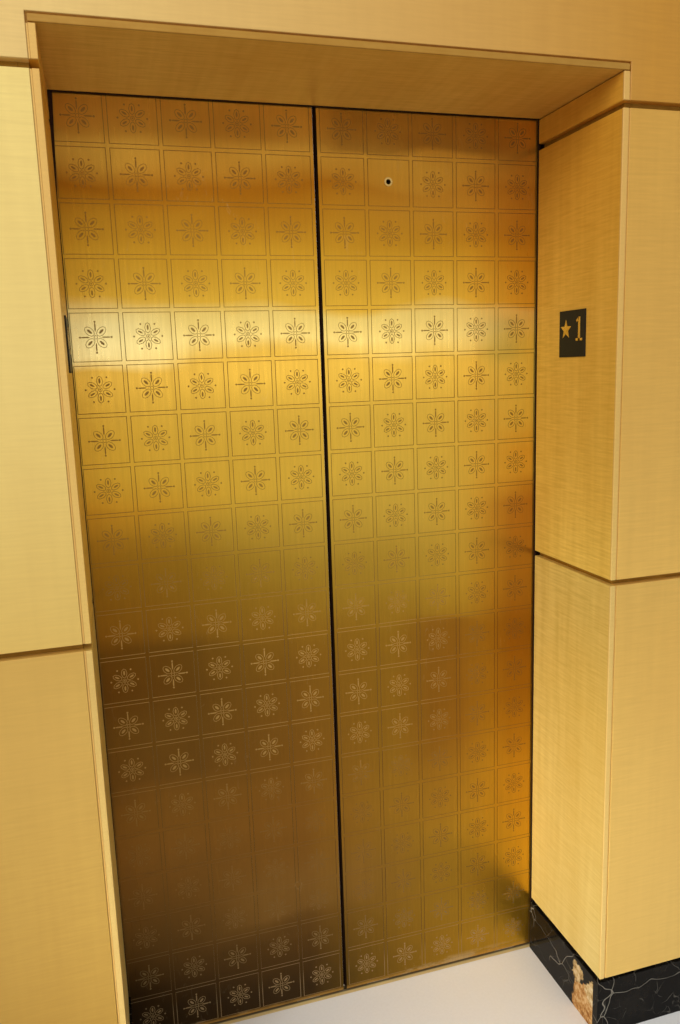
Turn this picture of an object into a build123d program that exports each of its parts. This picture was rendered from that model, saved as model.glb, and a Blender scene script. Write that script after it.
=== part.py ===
"""Landing entrance of a passenger lift: two brass leaves in a deep wood-lined recess.

X runs to the right as seen from the lobby, Y runs away from the lobby into the shaft and Z is up.
Zero is the middle of the opening, in the plane of the shut leaves' faces, at the finished floor.
Everything is in millimetres.
"""
from build123d import *
import os

os.makedirs("parts", exist_ok=True)

# Opening and recess
opening_width = 1066.8
opening_height = 2134.0
recess_depth = 323.0
leaf_clearance = 6.0
floor_build_up = 28.0

# Panelling
lining_lip = 11.0
quirk_width = 4.0
quirk_depth = 8.0
facing_thickness = 20.0
ground_thickness = 12.0
ground_corner_gap = 18.0
soffit_joint = 2.0
lower_groove_bottom = 1107.0
lower_groove_height = 13.0
upper_groove_drop = 54.0
upper_groove_height = 14.0
panel_arris = 0.8

# Plinth and floor plates
plinth_height = 141.0
plinth_proud = 5.0
plinth_shadow_gap = 9.0
plinth_joint = 1.0
plate_side = 101.6
plate_thickness = 3.0
plate_bevel = 0.8
plate_centre_height = 1645.5
plate_centre_set_back = 163.0

# Leaves
meeting_gap = 9.0
leaf_overlap = 19.0
head_overlap = 22.0
sill_clearance = 10.0
leaf_thickness = 32.0
face_sheet = 2.0
back_sheet = 2.0
seal_proud = 2.0
seal_width = 16.0
seal_set_back = 8.0

# Stiffeners on the back of each leaf
stiffener_count = 3
stiffener_width = 70.0
stiffener_crown = 40.0
stiffener_depth = 10.0
stiffener_sheet = 1.5
stiffener_end_gap = 50.0
stiffener_side_gap = 60.0

# Sill and the gibs that run in it
sill_depth = 88.0
sill_end_cover = 10.0
groove_clearance = 0.75
groove_depth = 20.0
tread_groove_width = 2.5
tread_groove_depth = 1.2
tread_groove_pitch = 5.5
tread_groove_count = 8
tread_start = 36.0
sill_deck = 8.0
sill_wall = 6.0
sill_tie_length = 60.0
sill_tie_count = 9
gib_length = 60.0
gib_thickness = 10.0
gib_drop = 24.0
gib_flange_length = 90.0
gib_flange_width = 24.0
gib_flange_thickness = 3.0
gib_flange_corner = 5.0
gib_inset = 90.0

# Header and track
header_clearance = 29.0
header_sheet = 4.0
header_height = 245.0
header_shelf = 76.0
header_lip = 16.0
header_end_gap = 45.0
head_cover = 20.0
wall_end_cover = 70.0
rail_lift = 39.0
rail_height = 45.0
rail_thickness = 8.0
rail_end_gap = 35.0
rail_spacer_radius = 9.0
rail_spacer_count = 6

# Hangers and rollers
hanger_inset = 34.0
hanger_sheet = 5.0
hanger_lap = 60.0
hanger_corner = 18.0
hanger_top_margin = 50.0
wheel_inset = 84.0
wheel_tread_radius = 40.0
wheel_flange_height = 5.0
wheel_thickness = 16.0
wheel_groove_floor = 5.6
axle_radius = 8.0
axle_clearance = 0.05
axle_end = 3.0
rail_running_gap = 0.3
rail_side_gap = 1.2
upthrust_radius = 14.0
upthrust_gap = 0.5
upthrust_inset = 124.0

# Relating cable
cable_radius = 1.5
sheave_radius = 25.0
sheave_rim = 3.0
sheave_groove_floor = 2.4
sheave_groove_mouth = 5.8
sheave_thickness = 10.0
cable_sides = 6
sheave_lift = 135.0
sheave_end_gap = 65.0
clamp_length = 30.0
clamp_height = 18.0
clamp_clearance = 0.6

# End stops
stop_clearance = 5.0
stop_width = 22.0
stop_height = 40.0
stop_lift = 8.0
stop_rubber = 8.0

# Lock and emergency key
key_offset = 164.3
key_drop = 168.4
key_bore_radius = 5.5
key_ring_radius = 9.5
key_ring_proud = 1.5
key_barrel_radius = 7.5
key_barrel_clearance = 0.1
key_case_reach = 16.0
key_case_depth = 12.0
lock_width = 54.0
lock_height = 74.0
lock_reach = 30.0
lock_lift = 8.0
keeper_radius = 4.0
latch_height = 16.0
lock_corner = 4.0
latch_thickness = 5.0
latch_gap = 5.5
rod_radius = 4.0

# Places worked out from the sizes above
half_opening = opening_width / 2
facing_front = -recess_depth
facing_back = facing_front + facing_thickness
pier_front = facing_back + ground_thickness
wall_back = -leaf_clearance
lining_thickness = lining_lip + quirk_width
lining_outer = half_opening + lining_thickness
quirk_back = facing_front + quirk_depth
pier_inner = lining_outer + ground_thickness
base_level = -floor_build_up

leaf_inner = meeting_gap / 2
leaf_outer = half_opening + leaf_overlap
leaf_middle = (leaf_inner + leaf_outer) / 2
leaf_bottom = sill_clearance
leaf_top = opening_height + head_overlap
travel = half_opening - leaf_inner
key_height = leaf_top - key_drop
wall_half = leaf_outer + travel + wall_end_cover

soffit_top = opening_height + lining_thickness
lintel_bottom = soffit_top + ground_thickness
lower_groove_top = lower_groove_bottom + lower_groove_height
upper_groove_top = opening_height - upper_groove_drop
upper_groove_bottom = upper_groove_top - upper_groove_height
ground_inner = lining_outer + ground_corner_gap
wood_bottom = plinth_height + plinth_shadow_gap
plinth_inner = half_opening - plinth_proud

running_line = leaf_thickness / 2
rail_bottom = leaf_top + rail_lift
rail_top = rail_bottom + rail_height
header_back = wall_back + header_sheet
header_bottom = leaf_top + header_clearance
header_top = header_bottom + header_height
header_half = wall_half - header_end_gap
rail_half = header_half - rail_end_gap
wall_top = header_top + head_cover
wheel_centre = rail_top + rail_running_gap + wheel_tread_radius
wheel_flange_radius = wheel_tread_radius + wheel_flange_height
hanger_front = leaf_thickness
hanger_bottom = leaf_top - hanger_lap
hanger_top = wheel_centre + hanger_top_margin
hanger_inner = leaf_inner + hanger_inset
hanger_outer = leaf_outer - hanger_inset
hanger_back = hanger_front + hanger_sheet
upthrust_centre = rail_bottom - upthrust_gap - upthrust_radius
sheave_level = rail_top + sheave_lift
sheave_place = header_half - sheave_end_gap
lower_run = sheave_level - sheave_radius
upper_run = sheave_level + sheave_radius
keeper_level = rail_top + lock_lift + lock_height / 2


def block(x0, x1, y0, y1, z0, z1):
    """A plain block between two opposite corners."""
    middle = Pos((x0 + x1) / 2, (y0 + y1) / 2, (z0 + z1) / 2)
    return middle * Box(x1 - x0, y1 - y0, z1 - z0)


def rod(radius, x, y0, y1, z):
    """A round bar along Y."""
    return Pos(x, (y0 + y1) / 2, z) * Rot(90, 0, 0) * Cylinder(radius, y1 - y0)


def turned(outline, x, z):
    """A wheel on an axis along Y: its outline is a list of radii and places along the axis."""
    return Pos(x, running_line, z) * revolve(make_face(Polyline(*outline, close=True)), Axis.Y)


def eased(panel):
    """A panel with all of its arrises eased."""
    return chamfer(panel.edges(), panel_arris)


def mirrored(shape):
    """The same piece on the other side of the opening."""
    return mirror(shape, about=Plane.YZ)


def save(name, shape):
    """Writes one piece, or several solids of one node, to its own file."""
    export_step(shape, f"parts/{name}.step")


def save_pair(name, shape):
    """Writes the right-hand piece and its mirror image."""
    save(f"right_{name}", shape)
    save(f"left_{name}", mirrored(shape))


# Walls
def pier():
    """The wall beside the opening, which the open leaf slides behind."""
    return block(pier_inner, wall_half, pier_front, wall_back, base_level, wall_top)


def lintel():
    """The wall over the opening, between the two piers."""
    return block(-pier_inner, pier_inner, pier_front, wall_back, lintel_bottom, wall_top)


def side_grounds():
    """The timber sheets behind the facing, its plinth and the reveal, seen in the shadow grooves."""
    front = block(ground_inner, wall_half, facing_back, pier_front, 0, wall_top)
    side = block(lining_outer, pier_inner, pier_front, wall_back, wood_bottom, lintel_bottom)
    return Compound([front, side])


def head_grounds():
    """The timber sheets behind the fascia and over the soffit."""
    bottom = soffit_top + ground_corner_gap
    front = block(-ground_inner, ground_inner, facing_back, pier_front, bottom, wall_top)
    over = block(-lining_outer, lining_outer, pier_front, wall_back, soffit_top, lintel_bottom)
    return Compound([front, over])


# Panelling
def facing(z0, z1):
    """One facing panel beside the opening."""
    return eased(block(lining_outer, wall_half, facing_front, facing_back, z0, z1))


def reveal(z0, z1):
    """One panel that lines the side of the recess, with a quirk where it meets the facing."""
    panel = eased(block(half_opening, lining_outer, facing_front, wall_back, z0, z1))
    return panel - block(half_opening + lining_lip, lining_outer, facing_front, quirk_back, z0, z1)


def soffit():
    """The panel that lines the top of the recess, laps over the reveals and has the same quirk."""
    panel = eased(block(-lining_outer, lining_outer, facing_front, wall_back, opening_height, soffit_top))
    lip_end = half_opening + lining_lip
    quirk = block(-lining_outer, lining_outer, facing_front, quirk_back, opening_height, soffit_top)
    quirk -= block(-lip_end, lip_end, facing_front, quirk_back, opening_height, opening_height + lining_lip)
    return panel - quirk


def fascia():
    """The large panel over the opening, with a short leg down each side."""
    panel = block(-wall_half, wall_half, facing_front, facing_back, upper_groove_top, wall_top)
    notch = block(-lining_outer, lining_outer, facing_front, facing_back, upper_groove_top, soffit_top)
    panel -= notch
    return chamfer(panel.faces().sort_by(Axis.Y)[0].edges(), panel_arris)


def plinth():
    """The stone skirting in two slabs: one on the facing and one on the reveal."""
    front = block(plinth_inner, wall_half, facing_front, facing_back, 0, plinth_height)
    side = block(plinth_inner, pier_inner, facing_back + plinth_joint, wall_back, 0, plinth_height)
    return Compound([eased(front), eased(side)])


def floor_plate():
    """The bare square plate on the reveal that tells which floor this is."""
    middle_y = facing_front + plate_centre_set_back
    plate = block(half_opening - plate_thickness, half_opening,
                  middle_y - plate_side / 2, middle_y + plate_side / 2,
                  plate_centre_height - plate_side / 2, plate_centre_height + plate_side / 2)
    return chamfer(plate.faces().sort_by(Axis.X)[0].edges(), plate_bevel)


# Threshold
def sill():
    """The nosing bar and the grooved tread, with the guide groove open between them."""
    reach = leaf_outer + travel + sill_end_cover
    rear = wall_back + sill_depth
    half_groove = gib_thickness / 2 + groove_clearance
    tread_front = running_line + half_groove
    nosing = block(-reach, reach, wall_back, running_line - half_groove, base_level, 0)
    tread = block(-reach, reach, tread_front, rear, base_level, 0)
    tread -= block(-reach, reach, tread_front + sill_wall, rear - sill_wall, base_level, -sill_deck)
    for number in range(tread_groove_count):
        y = tread_start + number * tread_groove_pitch
        tread -= block(-reach, reach, y, y + tread_groove_width, -tread_groove_depth, 0)
    return Compound([nosing, tread])


def sill_ties():
    """The short bars in the bottom of the groove, which hold the nosing to the tread and let dirt through."""
    half_groove = gib_thickness / 2 + groove_clearance
    reach = leaf_outer + travel + sill_end_cover - sill_tie_length / 2
    step = 2 * reach / (sill_tie_count - 1)
    ties = []
    for number in range(sill_tie_count):
        x = -reach + number * step
        ties.append(block(x - sill_tie_length / 2, x + sill_tie_length / 2,
                          running_line - half_groove, running_line + half_groove, base_level, -groove_depth))
    return Compound(ties)


# Leaves
def key_hole(radius):
    """The hole through the right leaf for the emergency key's sleeve."""
    return rod(radius, key_offset, -leaf_thickness, 2 * leaf_thickness, key_height)


def leaf_face():
    """The polished sheet with its edges folded back."""
    depth = leaf_thickness - back_sheet
    tray = block(leaf_inner, leaf_outer, 0, depth, leaf_bottom, leaf_top)
    inside = block(leaf_inner + face_sheet, leaf_outer - face_sheet, face_sheet, depth,
                   leaf_bottom + face_sheet, leaf_top - face_sheet)
    return tray - inside


def leaf_core():
    """The stiff core in the folded sheet, closed by the back sheet."""
    depth = leaf_thickness - back_sheet
    filling = block(leaf_inner + face_sheet, leaf_outer - face_sheet, face_sheet, depth,
                    leaf_bottom + face_sheet, leaf_top - face_sheet)
    sheet = block(leaf_inner, leaf_outer, depth, leaf_thickness, leaf_bottom, leaf_top)
    return filling + sheet


def stiffener(x):
    """One folded channel welded upright on the back sheet."""
    half_foot = stiffener_width / 2
    half_crown = stiffener_crown / 2
    near = leaf_thickness
    far = near + stiffener_depth
    sheet = stiffener_sheet
    outline = [
        (x - half_foot, near), (x - half_foot, near + sheet), (x - half_crown - sheet, near + sheet),
        (x - half_crown, far), (x + half_crown, far), (x + half_crown + sheet, near + sheet),
        (x + half_foot, near + sheet), (x + half_foot, near), (x + half_crown, near),
        (x + half_crown - sheet, far - sheet), (x - half_crown + sheet, far - sheet), (x - half_crown, near),
    ]
    z0 = leaf_bottom + stiffener_end_gap
    z1 = hanger_bottom - stiffener_end_gap
    face = make_face(Polyline(*outline, close=True))
    return Pos(0, 0, z0) * extrude(face, z1 - z0, dir=(0, 0, 1))


def stiffeners():
    """The channels on one leaf, evenly spread over its width."""
    first = leaf_inner + stiffener_side_gap + stiffener_width / 2
    last = leaf_outer - stiffener_side_gap - stiffener_width / 2
    step = (last - first) / (stiffener_count - 1)
    return Compound([stiffener(first + number * step) for number in range(stiffener_count)])


def meeting_seal():
    """The rubber nose on the leaf's meeting edge."""
    nose = block(leaf_inner - seal_proud, leaf_inner, seal_set_back, seal_set_back + seal_width,
                 leaf_bottom, leaf_top)
    return fillet(nose.faces().sort_by(Axis.X)[0].edges().filter_by(Axis.Z), seal_proud * 0.9)


def gib(x):
    """One guide shoe on its flange, hanging from the leaf's bottom edge."""
    shoe = Pos(x, running_line, leaf_bottom - gib_drop)
    slot = SlotOverall(gib_length, gib_thickness)
    flange = Pos(x, running_line, leaf_bottom - gib_flange_thickness / 2)
    plate = Box(gib_flange_length, gib_flange_width, gib_flange_thickness)
    plate = chamfer(plate.edges().filter_by(Axis.Z), gib_flange_corner)
    return shoe * extrude(slot, gib_drop) + flange * plate


def gibs():
    """The two guide shoes of one leaf."""
    return Compound([gib(leaf_inner + gib_inset), gib(leaf_outer - gib_inset)])


# Hangers and rollers
def wheel(x):
    """One hanger wheel, with a tapered groove that sits over the rail's crown."""
    hub = axle_radius + axle_clearance
    rim = wheel_tread_radius + wheel_flange_height
    side = wheel_thickness / 2
    mouth = rail_thickness / 2 + rail_side_gap
    floor = wheel_groove_floor / 2
    outline = [
        (hub, -side), (rim, -side), (rim, -mouth), (wheel_tread_radius, -floor),
        (wheel_tread_radius, floor), (rim, mouth), (rim, side), (hub, side),
    ]
    return turned(outline, x, wheel_centre)


def upthrust_roller(x):
    """One small roller that runs under the rail and keeps the hanger down."""
    hub = axle_radius + axle_clearance
    side = wheel_thickness / 2
    outline = [(hub, -side), (upthrust_radius, -side), (upthrust_radius, side), (hub, side)]
    return turned(outline, x, upthrust_centre)


wheel_places = [leaf_inner + wheel_inset, leaf_outer - wheel_inset]
upthrust_places = [leaf_inner + upthrust_inset, leaf_outer - upthrust_inset]


def rollers():
    """The four rollers of one hanger."""
    solids = [wheel(x) for x in wheel_places]
    solids += [upthrust_roller(x) for x in upthrust_places]
    return Compound(solids)


def cable_clamp(x, level):
    """The arm that reaches from the hanger up to one run of the cable."""
    half = clamp_length / 2
    arm = block(x - half, x + half, hanger_front, hanger_back,
                hanger_top - hanger_sheet, level + clamp_height / 2)
    jaw = block(x - half, x + half, running_line - clamp_height / 2, hanger_front,
                level - clamp_height / 2, level + clamp_height / 2)
    bore = Pos(x, running_line, level) * Rot(0, 90, 0)
    return arm + jaw - bore * Cylinder(cable_radius + clamp_clearance, 2 * clamp_length)


def hanger(level):
    """The plate that carries a leaf, with its axles and the clamp on one run of the cable."""
    plate = block(hanger_inner, hanger_outer, hanger_front, hanger_back, hanger_bottom, hanger_top)
    plate = chamfer(plate.edges().filter_by(Axis.Y), hanger_corner)
    front = running_line - wheel_thickness / 2 - axle_end
    for x in wheel_places:
        plate += rod(axle_radius, x, front, hanger_front, wheel_centre)
    for x in upthrust_places:
        plate += rod(axle_radius, x, front, hanger_front, upthrust_centre)
    return plate + cable_clamp(leaf_middle, level)


# Header, track and what they carry
def header():
    """The folded steel plate on the wall over the opening, with the pins of the two sheaves."""
    front = wall_back + header_shelf
    plate = block(-header_half, header_half, wall_back, header_back, header_bottom, header_top)
    plate += block(-header_half, header_half, header_back, front, header_top - header_sheet, header_top)
    plate += block(-header_half, header_half, front - header_sheet, front,
                   header_top - header_lip, header_top - header_sheet)
    for x in (-sheave_place, sheave_place):
        plate += rod(axle_radius, x, header_back, running_line + sheave_thickness, sheave_level)
    return plate


def track():
    """The rail with its rounded crown, held off the header by round spacers."""
    near = running_line - rail_thickness / 2
    bar = block(-rail_half, rail_half, near, near + rail_thickness, rail_bottom, rail_top)
    crown = bar.faces().sort_by(Axis.Z)[-1].edges().filter_by(Axis.X)
    bar = fillet(crown, rail_thickness / 2 - 0.01)
    reach = rail_half - 2 * rail_spacer_radius
    step = 2 * reach / (rail_spacer_count - 1)
    for number in range(rail_spacer_count):
        x = -reach + number * step
        bar += rod(rail_spacer_radius, x, header_back, near + 1, (rail_bottom + rail_top) / 2)
    return bar


def end_stop():
    """The bracket with a rubber buffer that the hanger stops short of when the leaf is open."""
    edge = hanger_outer + travel + stop_clearance
    bottom = rail_top + stop_lift
    top = bottom + stop_height
    bracket = block(edge + stop_rubber, edge + stop_width, header_back, hanger_back + stop_rubber / 2,
                    bottom, top)
    buffer = Pos(edge + stop_rubber / 2, hanger_front + hanger_sheet / 2, (bottom + top) / 2)
    return bracket + buffer * Rot(0, 90, 0) * Cylinder(stop_rubber, stop_rubber)


def sheave(x):
    """One grooved pulley of the relating cable."""
    hub = axle_radius + axle_clearance
    rim = sheave_radius + sheave_rim
    root = sheave_radius - cable_radius - axle_clearance
    side = sheave_thickness / 2
    mouth = sheave_groove_mouth / 2
    floor = sheave_groove_floor / 2
    outline = [
        (hub, -side), (rim, -side), (rim, -mouth), (root, -floor),
        (root, floor), (rim, mouth), (rim, side), (hub, side),
    ]
    return turned(outline, x, sheave_level)


def relating_cable():
    """The closed loop of steel cable that makes the two leaves move together."""
    section = RegularPolygon(cable_radius, cable_sides)
    length = 2 * sheave_place
    straight = Rot(0, 90, 0) * extrude(section, length)
    bend = revolve(Pos(sheave_radius, 0) * section, Axis.Y, 180)
    loop = Pos(-sheave_place, running_line, lower_run) * straight
    loop += Pos(-sheave_place, running_line, upper_run) * straight
    loop += Pos(sheave_place, running_line, sheave_level) * Rot(0, -90, 0) * bend
    loop += Pos(-sheave_place, running_line, sheave_level) * Rot(0, 90, 0) * bend
    return loop


# Lock
def lock_box():
    """The closed lock housing on the header, with the keeper pin that the latch drops over."""
    half = lock_width / 2
    case = block(-half, half, header_back, lock_reach,
                 keeper_level - lock_height / 2, keeper_level + lock_height / 2)
    case = chamfer(case.edges().filter_by(Axis.Y), lock_corner)
    return case + rod(keeper_radius, 0, lock_reach, hanger_back + 2 * latch_thickness, keeper_level)


def latch():
    """The latch arm on the right hanger, lifted clear, with the rod that the key raises."""
    beak = keeper_level + keeper_radius + latch_gap
    underside = beak + latch_height / 2
    tip = -keeper_radius - latch_height
    arm_end = key_offset + latch_height / 2
    arm = block(tip, arm_end, hanger_back, hanger_back + latch_thickness, underside, underside + latch_height)
    hook = block(tip, -keeper_radius, hanger_back, hanger_back + latch_thickness, beak, underside)
    foot = key_height + key_case_reach
    lift = Pos(key_offset, hanger_back + rod_radius, (foot + underside) / 2)
    return arm + hook + lift * Cylinder(rod_radius, underside - foot)


def key_sleeve():
    """The ring and sleeve of the emergency key hole, closed at the back by its cam case."""
    ring = rod(key_ring_radius, key_offset, -key_ring_proud, 0, key_height)
    barrel = rod(key_barrel_radius, key_offset, 0, leaf_thickness, key_height)
    bore = rod(key_bore_radius, key_offset, -key_ring_proud, leaf_thickness, key_height)
    near = leaf_thickness
    case = block(key_offset - key_case_reach, key_offset + key_case_reach, near, near + key_case_depth,
                 key_height - key_case_reach, key_height + key_case_reach)
    return ring + barrel + case - bore


def build():
    """Makes every piece and writes it to its own file."""
    save_pair("pier", pier())
    save("lintel", lintel())
    save_pair("grounds", side_grounds())
    save("head_grounds", head_grounds())
    save_pair("facing_lower", facing(wood_bottom, lower_groove_bottom))
    save_pair("facing_middle", facing(lower_groove_top, upper_groove_bottom))
    save("fascia", fascia())
    save_pair("reveal_lower", reveal(wood_bottom, lower_groove_bottom))
    save_pair("reveal_middle", reveal(lower_groove_top, upper_groove_bottom))
    save_pair("reveal_upper", reveal(upper_groove_top, opening_height - soffit_joint))
    save("soffit", soffit())
    save_pair("plinth", plinth())
    save_pair("floor_plate", floor_plate())
    save("sill", sill())
    save("sill_ties", sill_ties())

    hole = key_hole(key_barrel_radius + key_barrel_clearance)
    save("left_leaf_face", mirrored(leaf_face()))
    save("right_leaf_face", leaf_face() - hole)
    save("left_leaf_core", mirrored(leaf_core()))
    save("right_leaf_core", leaf_core() - hole)
    save_pair("stiffeners", stiffeners())
    save_pair("meeting_seal", meeting_seal())
    save_pair("gibs", gibs())
    save_pair("rollers", rollers())
    save("left_hanger", mirrored(hanger(lower_run)))
    save("right_hanger", hanger(upper_run))

    save("header", header())
    save("track", track())
    save("end_stops", Compound([end_stop(), mirrored(end_stop())]))
    save("sheaves", Compound([sheave(-sheave_place), sheave(sheave_place)]))
    save("relating_cable", relating_cable())
    save("lock_box", lock_box())
    save("latch", latch())
    save("key_sleeve", key_sleeve())


build()
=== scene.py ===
"""Looks of the landing entrance: brass leaves with an etched grid in a wood-lined recess.

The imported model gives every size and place. X runs to the right as seen from the lobby, Y runs into
the shaft and Z is up, in metres, from the middle of the opening at the finished floor.
"""

import math

import bpy
from bpy.props import FloatProperty, FloatVectorProperty, IntProperty, PointerProperty
from mathutils import Matrix, Vector


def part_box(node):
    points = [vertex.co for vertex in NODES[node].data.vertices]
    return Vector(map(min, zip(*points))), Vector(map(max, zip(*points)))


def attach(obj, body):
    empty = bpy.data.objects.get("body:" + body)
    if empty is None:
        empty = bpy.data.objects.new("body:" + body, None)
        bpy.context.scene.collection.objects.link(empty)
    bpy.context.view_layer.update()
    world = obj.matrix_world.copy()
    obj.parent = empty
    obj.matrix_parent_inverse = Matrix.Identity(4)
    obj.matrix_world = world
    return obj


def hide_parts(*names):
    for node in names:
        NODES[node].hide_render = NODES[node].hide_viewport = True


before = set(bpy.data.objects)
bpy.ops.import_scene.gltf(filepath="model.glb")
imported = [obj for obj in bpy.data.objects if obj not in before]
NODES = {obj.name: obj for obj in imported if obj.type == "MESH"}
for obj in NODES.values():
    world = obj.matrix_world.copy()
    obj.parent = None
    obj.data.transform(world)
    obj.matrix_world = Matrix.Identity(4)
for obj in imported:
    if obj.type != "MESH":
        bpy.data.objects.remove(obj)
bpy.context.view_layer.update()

bl_info = {
    "name": "Landing entrance",
    "version": (1, 0, 0),
    "blender": (4, 5, 0),
    "location": "View3D > Sidebar > Landing",
    "description": "Builds the finishes and small fittings of a lift's landing entrance",
    "category": "Object",
}

SIDES = {"left": -1, "right": 1}
QUARTER = math.pi / 2
UPRIGHT = (QUARTER, 0, 0)  # turns a flat or level shape to run along Y


# Places read from the frame
def least(node):
    """The corner of a node's box with its least coordinates."""
    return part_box(node)[0]


def most(node):
    """The corner of a node's box with its greatest coordinates."""
    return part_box(node)[1]


def halfway(node, axis):
    """The middle of a node's box along one axis."""
    return sum(getattr(corner, axis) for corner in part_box(node)) / 2


HALF_OPENING = least("right_reveal_lower").x
LINING_OUTER = most("right_reveal_lower").x
PIER_FRONT = least("right_pier").y
WALL_BACK = most("right_pier").y
BASE = least("right_pier").z
FACING_BACK = most("right_facing_lower").y
RECESS_FRONT = least("soffit").y
SOFFIT = least("soffit").z
LEAF_LOW, LEAF_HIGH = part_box("right_leaf_face")
KEY_X, KEY_Z = halfway("key_sleeve", "x"), halfway("key_sleeve", "z")
PLATE_LOW, PLATE_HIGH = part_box("right_floor_plate")
HEADER_TOP = most("header").z
WHEEL_LOW, WHEEL_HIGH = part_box("right_rollers")


# What the user may change
def metres(name, default, description):
    """A length in metres."""
    return FloatProperty(name=name, description=description, default=default, unit="LENGTH")


def watts(name, default, description):
    """A lamp's power in watts."""
    return FloatProperty(name=name, description=description, default=default, unit="POWER")


def rgb(name, default, description):
    """A colour."""
    return FloatVectorProperty(name=name, description=description, default=default, subtype="COLOR")


def whole(name, default, description):
    """A whole number."""
    return IntProperty(name=name, description=description, default=default)


class EtchedGrid(bpy.types.PropertyGroup):
    """The double lines and the ornaments etched into the leaves."""

    column_pitch: metres("Column pitch", 0.1053, "From one pair of upright lines to the next")
    row_pitch: metres("Row pitch", 0.1065, "From one pair of level lines to the next")
    first_column: metres("First column", 0.0076, "From the middle of the opening to the first cell")
    first_row: metres("First row", 0.0151, "From the floor to the lowest cell")
    columns: whole("Columns", 5, "Cells across one leaf")
    rows: whole("Rows", 20, "Cells up one leaf")
    line_inset: metres("Line inset", 0.0036, "From the edge of a cell to its line")
    line_width: metres("Line width", 0.0015, "Width of an etched line")
    depth: metres("Depth", 0.0004, "How deep a line is etched")
    sheet: metres("Sheet", 0.002, "Thickness of the brass sheet")


class Finishes(bpy.types.PropertyGroup):
    """Colours of the main finishes."""

    veneer: rgb("Veneer", (0.69, 0.405, 0.076), "Mean colour of the wood")
    marble: rgb("Marble", (0.006, 0.0055, 0.005), "Ground colour of the plinth")


class Fittings(bpy.types.PropertyGroup):
    """Sizes of the small fittings."""

    courses: whole("Courses", 12, "Courses of blocks in a pier")
    block_length: metres("Block", 0.390, "Length of a whole block")
    joint: metres("Joint", 0.010, "Width of a mortar joint")
    raked: metres("Raked", 0.004, "How deep a mortar joint is raked")
    wall_bolt: metres("Wall bolt", 0.011, "Width across the head of the header's wall bolts")
    axle_nut: metres("Axle nut", 0.018, "Width across the nut on a wheel's axle")
    leaf_bolt: metres("Leaf bolt", 0.013, "Width across the head of the bolts that hold a leaf")
    welds: whole("Welds", 14, "Spot welds up one foot of a stiffener")
    relief: metres("Relief", 0.0008, "How far the floor number stands proud of its plate")


class Studio(bpy.types.PropertyGroup):
    """Light and camera."""

    lens: FloatProperty(name="Lens", description="Focal length", default=28.33, unit="CAMERA")
    key_power: watts("Key", 72.0, "Power of the main lamp")
    fill_power: watts("Fill", 3.0, "Power of the low lamp at the left")
    strip_power: watts("Strip", 5.0, "Power of the long lamp that the leaves mirror")
    front_power: watts("Front", 16.0, "Power of the wide weak lamp behind the camera")
    sky: FloatProperty(name="Sky", description="Strength of the light from all round", default=0.46)


# Making pieces
def alone(piece):
    """Makes a piece the only one selected."""
    bpy.ops.object.select_all(action="DESELECT")
    piece.select_set(True)
    bpy.context.view_layer.objects.active = piece


def settle(piece):
    """Moves a piece's place, turn and size into its mesh."""
    alone(piece)
    bpy.ops.object.transform_apply(location=True, rotation=True, scale=True)
    return piece


def moved(piece, place=(0, 0, 0), turn=(0, 0, 0)):
    """Puts a piece at a place, turned, and settles it."""
    piece.location = place
    piece.rotation_euler = turn
    return settle(piece)


def start(kind, scale=(1, 1, 1), **options):
    """Adds a primitive with nothing else selected, its place, turn and size in its mesh."""
    bpy.ops.object.select_all(action="DESELECT")
    getattr(bpy.ops.mesh, f"primitive_{kind}_add")(**options)
    bpy.context.object.scale = scale
    return settle(bpy.context.object)


def harden(piece, kind, **settings):
    """Adds one modifier and applies it."""
    alone(piece)
    modifier = piece.modifiers.new(kind.title(), kind)
    for name, value in settings.items():
        setattr(modifier, name, value)
    bpy.ops.object.modifier_apply(modifier=modifier.name)
    return piece


def cut(piece, drill):
    """Cuts one piece out of another and drops it."""
    harden(piece, "BOOLEAN", object=drill, operation="DIFFERENCE", solver="EXACT")
    bpy.data.objects.remove(drill)
    return piece


def joined(pieces):
    """Joins pieces into the first of them."""
    bpy.ops.object.select_all(action="DESELECT")
    for piece in pieces:
        piece.select_set(True)
    bpy.context.view_layer.objects.active = pieces[0]
    if len(pieces) > 1:
        bpy.ops.object.join()
    return pieces[0]


def twin(piece):
    """A copy of a piece with its own mesh."""
    made = piece.copy()
    made.data = piece.data.copy()
    bpy.context.scene.collection.objects.link(made)
    return made


def copies(piece, places):
    """Copies of a piece at several places, joined; the piece itself goes."""
    made = []
    for place in places:
        made.append(twin(piece))
        made[-1].location = place
    bpy.data.objects.remove(piece)
    return settle(joined(made))


def edit():
    """Enters edit mode."""
    bpy.ops.object.mode_set(mode="EDIT")


def done():
    """Leaves edit mode."""
    bpy.ops.object.mode_set(mode="OBJECT")


def choose(piece, test, kind="FACE"):
    """Goes into edit mode with those faces or vertices selected that pass a test."""
    alone(piece)
    edit()
    bpy.ops.mesh.select_mode(type=kind)
    bpy.ops.mesh.select_all(action="DESELECT")
    done()
    for item in piece.data.polygons if kind == "FACE" else piece.data.vertices:
        item.select = test(item)
    edit()


def push(distance):
    """Extrudes what is selected along Y."""
    bpy.ops.mesh.extrude_region_move(TRANSFORM_OT_translate={"value": (0, distance, 0)})


def closed():
    """Turns all faces outward and leaves edit mode."""
    bpy.ops.mesh.select_all(action="SELECT")
    bpy.ops.mesh.normals_make_consistent(inside=False)
    done()


def clothe(piece, *names):
    """Gives a piece its finishes, in the order of its slots."""
    while len(piece.data.materials) < len(names):
        piece.data.materials.append(None)
    for number, name in enumerate(names):
        piece.data.materials[number] = bpy.data.materials[name]
    return piece


def deliver(piece, name, body, dress=None):
    """Clothes and names a finished piece and lets it ride on its body."""
    if dress:
        clothe(piece, dress)
    piece.name = piece.data.name = name
    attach(piece, body)
    return piece


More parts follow.
